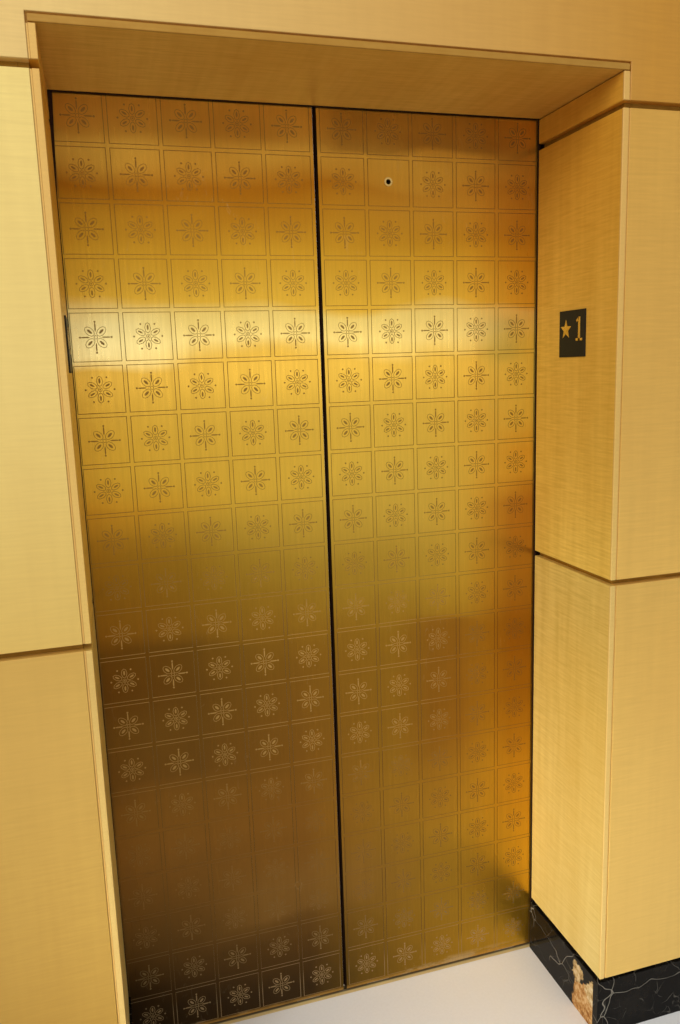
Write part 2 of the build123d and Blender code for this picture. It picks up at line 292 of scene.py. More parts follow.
# Node trees
class Work:
    """The node tree that nodes are added to."""

    tree = None


def wire(kind, settings=(), **sockets):
    """Adds a node with its settings and its inputs, which are values or other nodes' outputs."""
    made = Work.tree.nodes.new("ShaderNode" + kind)
    for name, value in dict(settings).items():
        setattr(made, name, value)
    for name, value in sockets.items():
        key = int(name[1:]) if name[1:].isdigit() else name.replace("_", " ")
        fill(made.inputs[key], value)
    return made


def fill(socket, value):
    """Links another node's output to a socket, or sets its value."""
    if isinstance(value, bpy.types.NodeSocket):
        Work.tree.links.new(value, socket)
    else:
        socket.default_value = value


def here():
    """Object coordinates."""
    return wire("TexCoord").outputs["Object"]


def axes():
    """Object coordinates, each by itself."""
    return wire("SeparateXYZ", Vector=here()).outputs


def stretched(scale=(1, 1, 1), turn=(0, 0, 0), where=None):
    """Coordinates, scaled and turned."""
    return wire("Mapping", Vector=where or here(), Scale=scale, Rotation=turn).outputs[0]


def figure(sign, first, second=0.5, third=0.0):
    """A sum, product or other sign applied to numbers."""
    return wire("Math", {"operation": sign}, i0=first, i1=second, i2=third).outputs[0]


def times(first, second):
    """A product."""
    return figure("MULTIPLY", first, second)


def weighed(first, share, second):
    """The mean of two numbers, the first with the share given."""
    return figure("MULTIPLY_ADD", first, share, times(second, 1 - share))


def tint(amount, first, second, way="MIX"):
    """Mixes two colours, each of them an output or three numbers."""
    first, second = ((*tone, 1.0) if isinstance(tone, tuple) else tone for tone in (first, second))
    mix = wire("Mix", {"data_type": "RGBA", "blend_type": way}, i0=amount, i6=first, i7=second)
    return mix.outputs[2]


def spread(value, low, high, new_low=0.0, new_high=1.0):
    """Stretches a range of a value to another, held at its ends."""
    return wire("MapRange", i0=value, i1=low, i2=high, i3=new_low, i4=new_high).outputs[0]


def fade(value, low, high, top=1.0):
    """Falls from the top to nothing over a range of a value."""
    return spread(value, low, high, top, 0.0)


def shades(value, stops):
    """A colour for each height of a value: stops are pairs of a place and a colour."""
    ramp = wire("ValToRGB", i0=value)
    items = ramp.color_ramp.elements
    for number, (place, colour) in enumerate(stops):
        item = items[number] if number < 2 else items.new(place)
        item.position = place
        item.color = (*colour, 1)
    return ramp.outputs[0]


def grit(where, scale, detail=3.0, rough=0.6, distort=0.0):
    """Noise between about 0.3 and 0.7."""
    noise = wire("TexNoise", Vector=where, Scale=scale, Detail=detail, Roughness=rough,
                 Distortion=distort)
    return noise.outputs[0]


def relief(height, strength, distance):
    """A bumped normal."""
    return wire("Bump", Strength=strength, Distance=distance, Height=height).outputs[0]


def group(name, outputs, make, extra=()):
    """A shader node group that takes a vector and makes its outputs with the function given."""
    tree = Work.tree = bpy.data.node_groups.new(name, "ShaderNodeTree")
    add = tree.interface.new_socket
    add("Vector", in_out="INPUT", socket_type="NodeSocketVector")
    for label, value in extra:
        add(label, in_out="INPUT", socket_type="NodeSocketFloat").default_value = value
    for label in outputs:
        add(label, in_out="OUTPUT", socket_type="NodeSocketFloat")
    source = tree.nodes.new("NodeGroupInput")
    sink = tree.nodes.new("NodeGroupOutput")
    for socket, value in zip(sink.inputs, make(source.outputs)):
        fill(socket, value)


def use(kit, where, **sockets):
    """Places a group."""
    return wire("Group", {"node_tree": bpy.data.node_groups[kit]}, Vector=where, **sockets).outputs


def finish(name, dress, *tones, **options):
    """A material whose Principled shader is wired by the function given."""
    made = bpy.data.materials.new(name)
    made.use_nodes = True
    Work.tree = made.node_tree
    shader = made.node_tree.nodes["Principled BSDF"]
    for socket, value in dress(*tones, **options).items():
        fill(shader.inputs[socket], value)


# Shared effects
def brush_marks(given):
    """Long straight brush marks along Z, and how worn they are."""
    where = stretched((1.0, 1.0, 0.012), where=given["Vector"])
    marks = weighed(grit(where, 1400.0, 2.0, 0.7), 0.6, grit(where, 130.0, 3.0, 0.6))
    return spread(marks, 0.36, 0.64), marks


def wood_figure(given):
    """Fine grain along X, faint ripples across it and slow changes of tone."""
    where = given["Vector"]
    grain = grit(stretched((0.9, 1.0, 14.0), where=where), 17.0, 4.0, 0.65, 0.4)
    fine = grit(stretched((0.06, 1.0, 1.0), where=where), 210.0, 2.0, 0.55)
    ripple = grit(stretched((1.0, 1.0, 0.07), where=where), 46.0, 2.0, 0.5)
    slow = grit(where, 2.3, 2.0, 0.5)
    lines = weighed(fine, 0.5, grain)
    tone = weighed(ripple, 0.3, lines)
    return spread(tone, 0.38, 0.62), spread(slow, 0.35, 0.65), lines


def stone_veins(given):
    """Thin wandering veins and finer threads between them."""
    where = given["Vector"]
    drift = wire("TexNoise", Vector=where, Scale=5.0, Detail=3.0, Roughness=0.6).outputs[1]
    shifted = wire("VectorMath", {"operation": "MULTIPLY_ADD"}, i0=drift,
                   i1=(0.12, 0.12, 0.12), i2=where).outputs[0]
    masks = []
    for scale, width, gate, amount in ((5.5, 0.006, 0.48, 1.0), (13.0, 0.009, 0.52, 0.6),
                                       (29.0, 0.016, 0.50, 0.4)):
        cells = wire("TexVoronoi", {"feature": "DISTANCE_TO_EDGE"}, Vector=shifted, Scale=scale)
        patchy = spread(grit(where, scale * 0.8, 3.0), gate, gate + 0.1)
        line = times(fade(cells.outputs[0], 0.0, width), patchy)
        masks.append(times(line, amount) if amount < 1 else line)
    veins = figure("MAXIMUM", masks[0], figure("MAXIMUM", masks[1], masks[2]))
    return veins, spread(grit(shifted, 9.0, 5.0, 0.7), 0.55, 0.75)


def scuffs(given):
    """Sparse short scuffs and handling marks."""
    thin = stretched((1.0, 1.0, 0.35), (0.0, 0.5, 0.0), given["Vector"])
    marks = spread(grit(thin, 60.0, 4.0, 0.75, 1.5), 0.60, 0.72)
    patch = spread(grit(given["Vector"], 6.0, 2.0, 0.5), 0.48, 0.62)
    return (times(times(marks, patch), given["Amount"]),)


def pores(given):
    """Pits and lumps of cast or fair-faced stone."""
    cells = wire("TexVoronoi", Vector=given["Vector"], Scale=given["Scale"]).outputs[0]
    pits = fade(cells, 0.0, 0.33)
    lumps = grit(given["Vector"], 55.0, 5.0, 0.7)
    return pits, lumps, figure("SUBTRACT", lumps, times(pits, 0.5))


def build_effects():
    """Makes the shader groups that the finishes share."""
    group("Brush marks", ("Tone", "Height"), brush_marks)
    group("Wood figure", ("Tone", "Slow", "Height"), wood_figure)
    group("Stone veins", ("Veins", "Cloud"), stone_veins)
    group("Scuffs", ("Mask",), scuffs, [("Amount", 1.0)])
    group("Pores", ("Pits", "Lumps", "Height"), pores, [("Scale", 90.0)])


# Finishes
BAND_TALL = 2.13  # the height that the levels below are shares of

# Level and colour up the leaf: reflections and shade painted into the brass as bright and dark bands
REFLECTION_BANDS = [
    (0.02, (0.080, 0.048, 0.020)), (0.13, (0.230, 0.115, 0.025)), (0.23, (0.370, 0.168, 0.027)),
    (0.33, (0.370, 0.170, 0.023)), (0.41, (0.380, 0.178, 0.021)), (0.48, (0.480, 0.240, 0.023)),
    (0.54, (0.600, 0.330, 0.028)), (0.585, (0.700, 0.400, 0.034)), (0.625, (0.980, 0.565, 0.048)),
    (0.71, (0.760, 0.445, 0.052)), (0.755, (0.720, 0.425, 0.058)), (0.775, (0.970, 0.730, 0.230)),
    (0.800, (0.960, 0.700, 0.190)), (0.812, (0.880, 0.510, 0.050)), (0.86, (0.740, 0.380, 0.027)),
    (0.925, (0.430, 0.145, 0.006)), (0.955, (0.700, 0.350, 0.040)), (0.985, (0.950, 0.560, 0.080)),
]
# The same for the painted brighter reflection at the right of the leaves, and for the etched lines,
# whose tones are painted reflections and shade as well
LIT_RIGHT_BANDS = [
    (0.26, (0.860, 0.510, 0.045)), (0.34, (0.660, 0.370, 0.030)), (0.44, (0.640, 0.360, 0.030)),
    (0.50, (0.880, 0.560, 0.065)), (0.56, (0.930, 0.600, 0.080)),
]
ETCHED_REFLECTION_BANDS = [
    (0.05, (0.62, 0.45, 0.23)), (0.075, (0.40, 0.28, 0.12)), (0.13, (0.32, 0.19, 0.06)),
    (0.26, (0.32, 0.17, 0.035)), (0.33, (0.62, 0.40, 0.12)), (0.45, (0.72, 0.46, 0.14)),
    (0.54, (0.40, 0.22, 0.045)), (0.66, (0.24, 0.13, 0.028)), (0.79, (0.24, 0.13, 0.028)),
    (0.83, (0.40, 0.23, 0.042)), (0.92, (0.36, 0.17, 0.025)), (0.96, (0.25, 0.12, 0.025)),
]
# Painted patches of reflection and shade, dark ones multiplied and bright ones mixed in: where each
# starts, is full, fades and is gone, across the leaves and in level, then its amount, blend and tone
PAINTED_PATCHES = [
    ((0.15, 0.25, 0.33, 0.41), (0.20, 0.30, 0.452, 0.462), 1.0, "MULTIPLY", (0.82, 0.70, 0.80)),
    ((0.34, 0.47, 0.60, 0.61), (0.13, 0.42, 0.585, 0.615), 1.0, "MULTIPLY", (0.68, 0.52, 0.50)),
    ((-0.61, -0.60, -0.42, -0.22), (0.38, 0.42, 0.62, 0.65), 1.0, "MULTIPLY", (0.86, 0.75, 0.66)),
    ((-0.02, 0.06, 0.40, 0.50), (0.953, 0.962, 1.10, 1.11), 1.0, "MULTIPLY", (0.66, 0.62, 0.62)),
    ((0.38, 0.49, 0.60, 0.61), (0.64, 0.68, 0.76, 0.80), 0.8, "MIX", (1.00, 0.80, 0.14)),
    ((0.00, 0.25, 0.60, 0.61), (0.880, 0.905, 0.940, 0.955), 0.4, "MIX", (0.76, 0.39, 0.045)),
    ((-0.36, -0.20, 0.05, 0.25), (0.09, 0.12, 0.16, 0.21), 0.4, "MIX", (0.46, 0.25, 0.060)),
    ((-0.61, -0.60, -0.46, -0.28), (0.75, 0.765, 0.79, 0.82), 0.6, "MIX", (1.00, 0.86, 0.40)),
]


def painted_reflections():
    """The brass's colour with reflections and shade painted in: bronze at the top, bright at hand
    height and brown below.
    """
    split = axes()
    wander = grit(stretched((0.9, 1.0, 2.2)), 2.6, 2.0, 0.5)
    height = figure("MULTIPLY_ADD", figure("SUBTRACT", wander, 0.5), 0.16, split["Z"])
    level = spread(height, 0.0, BAND_TALL)
    outer = spread(split["X"], -0.55, 0.55)
    rightward = figure("ADD", outer, spread(level, 0.45, 0.58, 0.0, 0.30))
    # Painted reflection: the right of the leaves is brighter below hand height.
    lit_right = times(spread(rightward, 0.42, 1.0), fade(level, 0.62, 0.80))
    painted_tone = tint(lit_right, shades(level, REFLECTION_BANDS), shades(level, LIT_RIGHT_BANDS))
    # Painted shade: a dark band across the left leaf below its middle, fainter above and towards the
    # foot.
    band = times(spread(level, 0.455, 0.480, 1.0, 0.2), spread(level, 0.290, 0.315, 0.55, 1.0))
    shade = times(spread(outer, 0.45, 0.20), band)
    painted_tone = tint(times(shade, 0.62), painted_tone, (0.39, 0.41, 0.65), "MULTIPLY")
    return with_painted_patches(painted_tone, split, level)


def with_painted_patches(painted_tone, split, level):
    """Brass with its painted patches of reflection and shade, and the bright wear and smears along the
    foot.
    """
    # Each patch is painted reflection or painted shade.
    for across, upward, amount, blend, tone in PAINTED_PATCHES:
        mask = amount
        for place, (first, full, fading, gone) in ((split["X"], across), (level, upward)):
            mask = times(mask, spread(place, first, full))
            mask = times(mask, fade(place, fading, gone))
        painted_tone = tint(mask, painted_tone, tone, blend)
    worn_at = stretched((1.0, 1.0, 3.0))
    worn = figure("MULTIPLY_ADD", grit(worn_at, 18.0), 0.010, split["Z"])
    painted_tone = tint(fade(worn, 0.015, 0.025, 0.85), painted_tone, (0.90, 0.52, 0.13))
    smear = spread(grit(worn_at, 5.0, 5.0, 0.7), 0.54, 0.62)
    smear = times(smear, fade(split["Z"], 0.018, 0.034, 0.6))
    return tint(smear, painted_tone, (0.85, 0.70, 0.42))


def leaf_brass():
    """Satin brass, brushed upright, with handling marks, and reflections and shade painted into its
    colour.
    """
    brush = use("Brush marks", here())
    foot = spread(axes()["Z"], 0.014, 0.050, 3.0, 0.5)
    marks = use("Scuffs", here(), Amount=foot)["Mask"]
    colour = tint(times(brush["Tone"], 0.16), painted_reflections(), (0.12, 0.07, 0.02))
    colour = tint(times(marks, 0.25), colour, (0.75, 0.60, 0.32))
    rough = figure("MULTIPLY_ADD", brush["Tone"], 0.06, 0.27)
    across = wire("Tangent", {"direction_type": "UV_MAP", "uv_map": "UVMap"}).outputs[0]
    return {"Base Color": colour, "Metallic": 1.0, "Anisotropic": 0.85, "Tangent": across,
            "Roughness": figure("MULTIPLY_ADD", marks, 0.15, rough),
            "Normal": relief(brush["Height"], 0.06, 0.0005)}


def shaded_upright_lines(split, height):
    """Where the etched lines run up the leaf, and how much painted shade darkens them at each height.
    """
    grid = bpy.context.scene.landing_grid
    across = figure("SUBTRACT", figure("ABSOLUTE", split["X"]), grid.first_column)
    beside = figure("PINGPONG", across, grid.column_pitch / 2)
    above = figure("SUBTRACT", split["Z"], grid.first_row)
    above = figure("PINGPONG", above, grid.row_pitch / 2)
    lines = times(figure("LESS_THAN", beside, above),
                  figure("LESS_THAN", beside, 2 * grid.line_inset))
    lines = times(lines, spread(height, 0.46, 0.52, 0.72, 0.2))
    return times(lines, spread(height, 0.030, 0.045))


def etched_brass():
    """Matt etched lines, their tones painted up the leaf as reflections and shade: darker than the
    painted bright bands and paler than the painted dark ones.
    """
    dark = (0.24, 0.13, 0.028)
    grains = grit(here(), 900.0, 2.0)
    split = axes()
    height = spread(split["Z"], 0.0, BAND_TALL)
    # Painted shade: towards the right edge of the right leaf the lines are dark above the foot.
    right = times(spread(split["X"], 0.22, 0.42), spread(height, 0.08, 0.14))
    matt = tint(right, shades(height, ETCHED_REFLECTION_BANDS), dark)
    colour = tint(0.75, painted_reflections(), matt)
    colour = tint(spread(grains, 0.35, 0.65, 0.0, 0.30), colour, (0.42, 0.27, 0.09))
    # Painted shade on the upright lines, which catch less light than the level ones.
    colour = tint(shaded_upright_lines(split, height), colour, (0.15, 0.08, 0.018))
    return {"Base Color": colour, "Metallic": 1.0, "Roughness": spread(grains, 0.3, 0.7, 0.50, 0.65),
            "Normal": relief(grains, 0.25, 0.0004)}


def veneer(near=(1, 1, 1), far=(1, 1, 1), reach=(0.0, 1.0), axis="Z", turn=0.0,
           lipping=(0.83, 0.56, 0.19), facing=False):
    """Pale veneer with light and shade painted in as a drift between two tones along an axis, with
    solid lippings at its arrises.
    """
    where = stretched(turn=(turn, 0.0, 0.0) if axis == "Y" else (0.0, 0.0, turn))
    wood = use("Wood figure", where)
    base = tuple(bpy.context.scene.landing_finishes.veneer)
    dark, light, warm = (tint(1.0, base, tone, "MULTIPLY")
                         for tone in ((0.85, 0.80, 0.67), (1.09, 1.11, 1.20), (0.90, 0.74, 0.50)))
    colour = tint(wood["Tone"], dark, light)
    colour = tint(times(wood["Slow"], 0.42), colour, warm)
    split = axes()
    # Painted light and shade: the tone drifts from near to far over the reach.
    drift = tint(spread(split[axis], *reach), near, far)
    if facing:
        colour = tint(0.55, colour, lipping)
    colour = tint(1.0, colour, drift, "MULTIPLY")
    if not facing:
        band = fade(split["Y"], RECESS_FRONT + 0.0040, RECESS_FRONT + 0.0046)
        joint = times(band, spread(split["Y"], RECESS_FRONT + 0.0028, RECESS_FRONT + 0.0034))
        colour = tint(times(band, 0.55), colour, lipping)
        colour = tint(times(joint, 0.5), colour, (0.50, 0.27, 0.07))
    return {"Base Color": colour, "Roughness": spread(wood["Tone"], 0.0, 1.0, 0.42, 0.34),
            "Coat Weight": 0.06, "Coat Roughness": 0.25, "Specular IOR Level": 0.25,
            "Normal": relief(wood["Height"], 0.05, 0.0006)}


def marble():
    """Polished black stone with white veins and one brown patch by the right-hand corner."""
    where = here()
    stone = use("Stone veins", where)
    base = tuple(bpy.context.scene.landing_finishes.marble)
    colour = tint(times(stone["Cloud"], 0.35), base, (0.030, 0.026, 0.020))
    colour = tint(times(stone["Veins"], 0.60), colour, (0.42, 0.39, 0.32))
    side_slab = spread(axes()["Y"], FACING_BACK + 0.0008, FACING_BACK + 0.0012)
    wander = times(grit(where, 34.0, 4.0, 0.7), 0.05)
    flecks = shades(grit(where, 75.0, 4.0, 0.7), [
        (0.36, (0.22, 0.08, 0.015)), (0.50, (0.42, 0.21, 0.06)), (0.64, (0.58, 0.38, 0.17))])
    pale = shades(grit(where, 60.0, 4.0, 0.7), [
        (0.36, (0.26, 0.15, 0.05)), (0.50, (0.48, 0.33, 0.14)), (0.64, (0.64, 0.52, 0.31))])
    for back, level, radius, tone in ((0.010, 0.026, 0.078, flecks), (0.004, 0.092, 0.030, pale),
                                      (0.064, 0.104, 0.026, pale)):
        place = (HALF_OPENING - 0.005, FACING_BACK + back, level)
        offset = wire("VectorMath", {"operation": "SUBTRACT"}, i0=where, i1=place).outputs[0]
        far = wire("VectorMath", {"operation": "LENGTH"}, i0=offset).outputs["Value"]
        ragged = figure("ADD", wander, figure("ADD", far, -0.025))
        patch = fade(ragged, radius - 0.004, radius)
        colour = tint(times(patch, side_slab), colour, tone)
    return {"Base Color": colour, "Roughness": spread(stone["Cloud"], 0.0, 1.0, 0.10, 0.22),
            "Specular IOR Level": 0.13}


def ground_board():
    """Board with a dark stain, in the shadow grooves."""
    wood = use("Wood figure", here())
    colour = tint(wood["Tone"], (0.30, 0.145, 0.016), (0.42, 0.225, 0.030))
    return {"Base Color": colour, "Roughness": 0.6, "Specular IOR Level": 0.1,
            "Normal": relief(wood["Height"], 0.1, 0.0008)}


def black_plate():
    """Satin black enamel with fine marks."""
    speck = grit(here(), 260.0)
    marks = use("Scuffs", here(), Amount=0.6)["Mask"]
    colour = tint(spread(speck, 0.3, 0.7), (0.012, 0.010, 0.008), (0.024, 0.020, 0.015))
    colour = tint(times(marks, 0.3), colour, (0.09, 0.08, 0.06))
    return {"Base Color": colour, "Roughness": spread(speck, 0.3, 0.7, 0.38, 0.50),
            "Specular IOR Level": 0.12}


def metal(low, high, rough, marks=0.3, brushed=False, metallic=1.0, bright=None):
    """Metal between two tones, with scuffs and a grain."""
    if brushed:
        grain = grit(stretched((0.02, 1.0, 1.0)), 700.0, 2.0)
    else:
        grain = grit(here(), 90.0, 5.0, 0.7)
    worn = use("Scuffs", here(), Amount=marks)["Mask"]
    colour = tint(spread(grain, 0.32, 0.68), low, high)
    colour = tint(worn, colour, bright or tuple(min(1.0, part * 1.4) for part in high))
    return {"Base Color": colour, "Metallic": metallic,
            "Roughness": spread(grain, 0.3, 0.7, rough - 0.06, rough + 0.06),
            "Normal": relief(grain, 0.06, 0.0004)}


def sill_bronze():
    """Pale bronze brushed along its length, with a painted shadow where it meets the leaves."""
    look = metal((0.80, 0.60, 0.23), (0.96, 0.78, 0.38), 0.46, 0.4, True, 0.3, (0.98, 0.88, 0.58))
    depth = axes()["Y"]
    # Painted shadow of the leaves on the sill, from just behind their face.
    leaf_shadow = times(spread(depth, 0.0030, 0.0050), fade(depth, 0.034, 0.036))
    look["Base Color"] = tint(times(leaf_shadow, 0.85), look["Base Color"], (0.07, 0.05, 0.025))
    return look


def plain(low, high, rough, scale=140.0, bump=0.05, shine=0.5):
    """A matt finish between two tones, such as rubber, nylon and paint."""
    grain = grit(here(), scale, 4.0, 0.65)
    tone = weighed(grit(here(), 5.0), 0.6, grain)
    return {"Base Color": tint(spread(tone, 0.36, 0.64), low, high),
            "Roughness": spread(grain, 0.3, 0.7, rough - 0.05, rough + 0.05),
            "Specular IOR Level": shine, "Normal": relief(grain, bump, 0.0006)}


def cast_stone(low, high, scale):
    """Concrete with pores."""
    holes = use("Pores", here(), Scale=scale)
    colour = tint(spread(holes["Lumps"], 0.3, 0.7), low, high)
    colour = tint(times(holes["Pits"], 0.35), colour, (0.16, 0.155, 0.15))
    return {"Base Color": colour, "Roughness": 0.88, "Normal": relief(holes["Height"], 0.5, 0.002)}


def wire_rope():
    """Steel rope: its strands show as slanting ridges along its run."""
    where = stretched(turn=(0.0, 0.9, 0.0))
    strands = wire("TexWave", {"bands_direction": "X"}, Vector=where, Scale=160.0,
                   Distortion=0.4).outputs[1]
    return {"Base Color": tint(strands, (0.16, 0.16, 0.16), (0.62, 0.62, 0.60)), "Metallic": 1.0,
            "Roughness": spread(strands, 0, 1, 0.55, 0.35), "Normal": relief(strands, 0.6, 0.0008)}


def gib_nylon():
    """White nylon shoe under a plated steel flange."""
    flange = spread(axes()["Z"], LEAF_LOW.z - 0.0031, LEAF_LOW.z - 0.0029)
    grain = grit(here(), 120.0, 4.0)
    tone = spread(grain, 0.3, 0.7)
    nylon = tint(tone, (0.56, 0.53, 0.45), (0.68, 0.66, 0.58))
    steel = tint(tone, (0.42, 0.42, 0.41), (0.62, 0.62, 0.60))
    return {"Base Color": tint(flange, nylon, steel), "Metallic": flange,
            "Roughness": spread(grain, 0.3, 0.7, 0.36, 0.5)}


# Veneer panels: painted light and shade, as the tones at both ends of a reach along Z
PAINTED_FACING_LIGHT = {
    "left middle": ((1.00, 1.05, 0.90), (1.15, 1.38, 1.60), (1.0, 1.6)),
    "left lower": ((0.58, 0.52, 0.28), (0.91, 0.90, 0.74), (0.2, 0.95)),
    "right middle": ((1.06, 1.03, 0.84), (0.95, 0.82, 0.52), (1.1, 2.1)),
    "right lower": ((0.95, 1.00, 0.97), (0.98, 0.95, 0.78), (0.2, 0.95)),
}
PAINTED_REVEAL_LIGHT = {
    "lower": ((1.00, 1.36, 2.60), (1.05, 1.28, 1.70), (0.2, 0.8)),
    "middle": ((1.20, 1.40, 1.50), (1.10, 0.98, 0.58), (1.1, 2.05)),
    "upper": ((1.08, 0.96, 0.60), (1.08, 0.96, 0.60), (0.0, 1.0)),
}


def build_finishes():
    """Makes every material, by its name."""
    for name, tones in PAINTED_FACING_LIGHT.items():
        finish(f"veneer {name}", veneer, *tones, facing=True)
    for name, tones in PAINTED_REVEAL_LIGHT.items():
        finish(f"veneer reveal {name}", veneer, *tones, turn=QUARTER)
    # The fascia's tones along X are painted light and shade: brighter at the left and darker at the
    # right.
    finish("veneer fascia", veneer, (1.05, 1.15, 1.45), (0.82, 0.62, 0.28), (-0.5, 0.6), "X",
           facing=True)
    # The soffit's dark lipping tone paints shade along its front edge.
    finish("veneer soffit", veneer, axis="Y", turn=QUARTER, lipping=(0.30, 0.13, 0.01))
    finish("veneer bead", veneer)
    finish("leaf brass", leaf_brass)
    finish("etched brass", etched_brass)
    finish("black marble", marble)
    finish("ground board", ground_board)
    finish("black enamel", black_plate)
    finish("sill bronze", sill_bronze)
    finish("rope", wire_rope)
    finish("gib nylon", gib_nylon)
    finish("number brass", metal, (0.62, 0.38, 0.10), (0.80, 0.54, 0.18), 0.30, 0.2, True)
    finish("rail steel", metal, (0.44, 0.44, 0.44), (0.68, 0.68, 0.68), 0.30, 0.4, True)
    finish("zinc plate", metal, (0.34, 0.34, 0.31), (0.44, 0.43, 0.39), 0.40, 0.15)
    finish("bolt steel", metal, (0.34, 0.34, 0.34), (0.56, 0.56, 0.55), 0.38, 0.2)
    finish("back paint", plain, (0.27, 0.28, 0.28), (0.34, 0.35, 0.35), 0.45)
    finish("header paint", plain, (0.16, 0.17, 0.175), (0.22, 0.23, 0.235), 0.50)
    finish("lock paint", plain, (0.035, 0.037, 0.040), (0.060, 0.062, 0.066), 0.42)
    finish("black rubber", plain, (0.014, 0.005, 0.002), (0.034, 0.013, 0.005), 0.75, 220.0, 0.1, 0.15)
    finish("grey nylon", plain, (0.50, 0.47, 0.39), (0.64, 0.61, 0.52), 0.42)
    finish("block", cast_stone, (0.36, 0.355, 0.34), (0.50, 0.49, 0.47), 110.0)
    finish("mortar", cast_stone, (0.40, 0.385, 0.355), (0.55, 0.53, 0.49), 260.0)
    finish("cast lintel", cast_stone, (0.40, 0.40, 0.385), (0.53, 0.525, 0.505), 60.0)


NODE_FINISHES = {
    "pier": "block", "lintel": "cast lintel", "grounds": "ground board", "head_grounds": "ground board",
    "left_facing_lower": "veneer left lower", "left_facing_middle": "veneer left middle",
    "right_facing_lower": "veneer right lower", "right_facing_middle": "veneer right middle",
    "reveal_lower": "veneer reveal lower", "reveal_middle": "veneer reveal middle",
    "reveal_upper": "veneer reveal upper", "fascia": "veneer fascia", "soffit": "veneer soffit",
    "plinth": "black marble", "floor_plate": "black enamel", "sill": "sill bronze",
    "sill_ties": "sill bronze", "leaf_face": "leaf brass", "leaf_core": "back paint",
    "stiffeners": "back paint", "meeting_seal": "black rubber", "gibs": "gib nylon",
    "rollers": "grey nylon", "hanger": "zinc plate", "header": "header paint", "track": "rail steel",
    "end_stops": "header paint", "sheaves": "grey nylon", "relating_cable": "rope",
    "lock_box": "lock paint", "latch": "zinc plate", "key_sleeve": "number brass",
}


class LANDING_OT_finishes(bpy.types.Operator):
    """Makes the materials and gives one to every CAD node"""

    bl_idname = "landing.finishes"
    bl_label = "Finishes of the CAD pieces"

    def execute(self, context):
        build_effects()
        build_finishes()
        for name, piece in NODES.items():
            sideless = name.removeprefix("left_").removeprefix("right_")
            clothe(piece, NODE_FINISHES.get(name) or NODE_FINISHES[sideless])
        return {"FINISHED"}


# Etched leaves
KEY_HOLE = 0.0076  # radius of the hole through the sheet at the key's sleeve
PROUD = 0.00025  # how far an ornament stands out from its leaf


def etched_sheet(grid, side):
    """The brass sheet of one leaf, folded back at its edges, with a line round every cell."""
    span = LEAF_HIGH - LEAF_LOW
    low = min(side * LEAF_LOW.x, side * LEAF_HIGH.x)
    sheet = start("plane", size=1, location=(low + span.x / 2, LEAF_LOW.y, LEAF_LOW.z + span.z / 2),
                  rotation=UPRIGHT, scale=(span.x, span.z, 1))
    clothe(sheet, "leaf brass", "etched brass")
    columns = [grid.first_column + n * grid.column_pitch for n in range(grid.columns + 1)]
    rows = [grid.first_row + n * grid.row_pitch for n in range(grid.rows + 1)]
    edit()
    for place, normal in ([((side * x, 0, 0), (1, 0, 0)) for x in columns]
                          + [((0, 0, z), (0, 0, 1)) for z in rows]):
        bpy.ops.mesh.select_all(action="SELECT")
        bpy.ops.mesh.bisect(plane_co=place, plane_no=normal)
    done()
    choose(sheet, lambda face: columns[0] < side * face.center.x < columns[-1]
           and rows[0] < face.center.z < rows[-1])
    bpy.ops.mesh.inset(thickness=grid.line_inset, use_individual=True)
    bpy.ops.mesh.inset(thickness=grid.line_width, use_individual=True, use_select_inset=True)
    sheet.active_material_index = 1
    bpy.ops.object.material_slot_assign()
    bpy.ops.mesh.extrude_region_shrink_fatten(TRANSFORM_OT_shrink_fatten={"value": -grid.depth})
    bpy.ops.mesh.select_all(action="DESELECT")
    bpy.ops.mesh.select_mode(type="EDGE")
    bpy.ops.mesh.select_non_manifold(extend=False)
    push(span.y)
    done()
    return harden(sheet, "SOLIDIFY", thickness=grid.sheet, offset=-1.0)


class LANDING_OT_leaf_sheets(bpy.types.Operator):
    """Etches the grid into the brass sheets of both leaves"""

    bl_idname = "landing.leaf_sheets"
    bl_label = "Etched brass sheets"

    def execute(self, context):
        for name, side in SIDES.items():
            sheet = etched_sheet(context.scene.landing_grid, side)
            if side > 0:
                cut(sheet, bar(KEY_HOLE, (KEY_X, -0.1, KEY_Z), 0.2, sides=40))
            deliver(sheet, f"{name}_etched_sheet", f"{name}_leaf")
            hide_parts(f"{name}_leaf_face")
        return {"FINISHED"}


def petal(reach, half_long, half_wide, line, sides):
    """One petal that points up, its middle at a reach above the centre: a line round it, or filled."""
    leaf = start("circle", vertices=sides, radius=1, fill_type="NGON", location=(0, 0, reach),
                 rotation=UPRIGHT, scale=(half_wide, half_long, 1))
    edit()
    bpy.ops.mesh.select_all(action="SELECT")
    if line:
        bpy.ops.mesh.inset(thickness=line)
        bpy.ops.mesh.delete(type="FACE")
        bpy.ops.mesh.select_all(action="SELECT")
    push(-PROUD)
    closed()
    return leaf


def ring(count, reach, half_long, half_wide, line=0.0, turn=0.0, sides=6):
    """A ring of like petals about the middle of an ornament."""
    made = [petal(reach, half_long, half_wide, line, sides)]
    made += [twin(made[0]) for number in range(1, count)]
    for number, piece in enumerate(made):
        piece.rotation_euler = (0, turn + number * 2 * math.pi / count, 0)
    return settle(joined(made))


def rosette():
    """Six outlined petals round a ringed boss, with a pearl between their tips."""
    petals = ring(6, 0.0172, 0.0112, 0.0066, 0.0012, sides=8)
    hearts = ring(6, 0.0180, 0.0058, 0.0021)
    pearls = ring(6, 0.0288, 0.0021, 0.0021, turn=math.pi / 6)
    boss = ring(1, 0.0, 0.0046, 0.0046, 0.0011, sides=10)
    dot = ring(1, 0.0, 0.0018, 0.0018)
    return joined([petals, hearts, pearls, boss, dot])


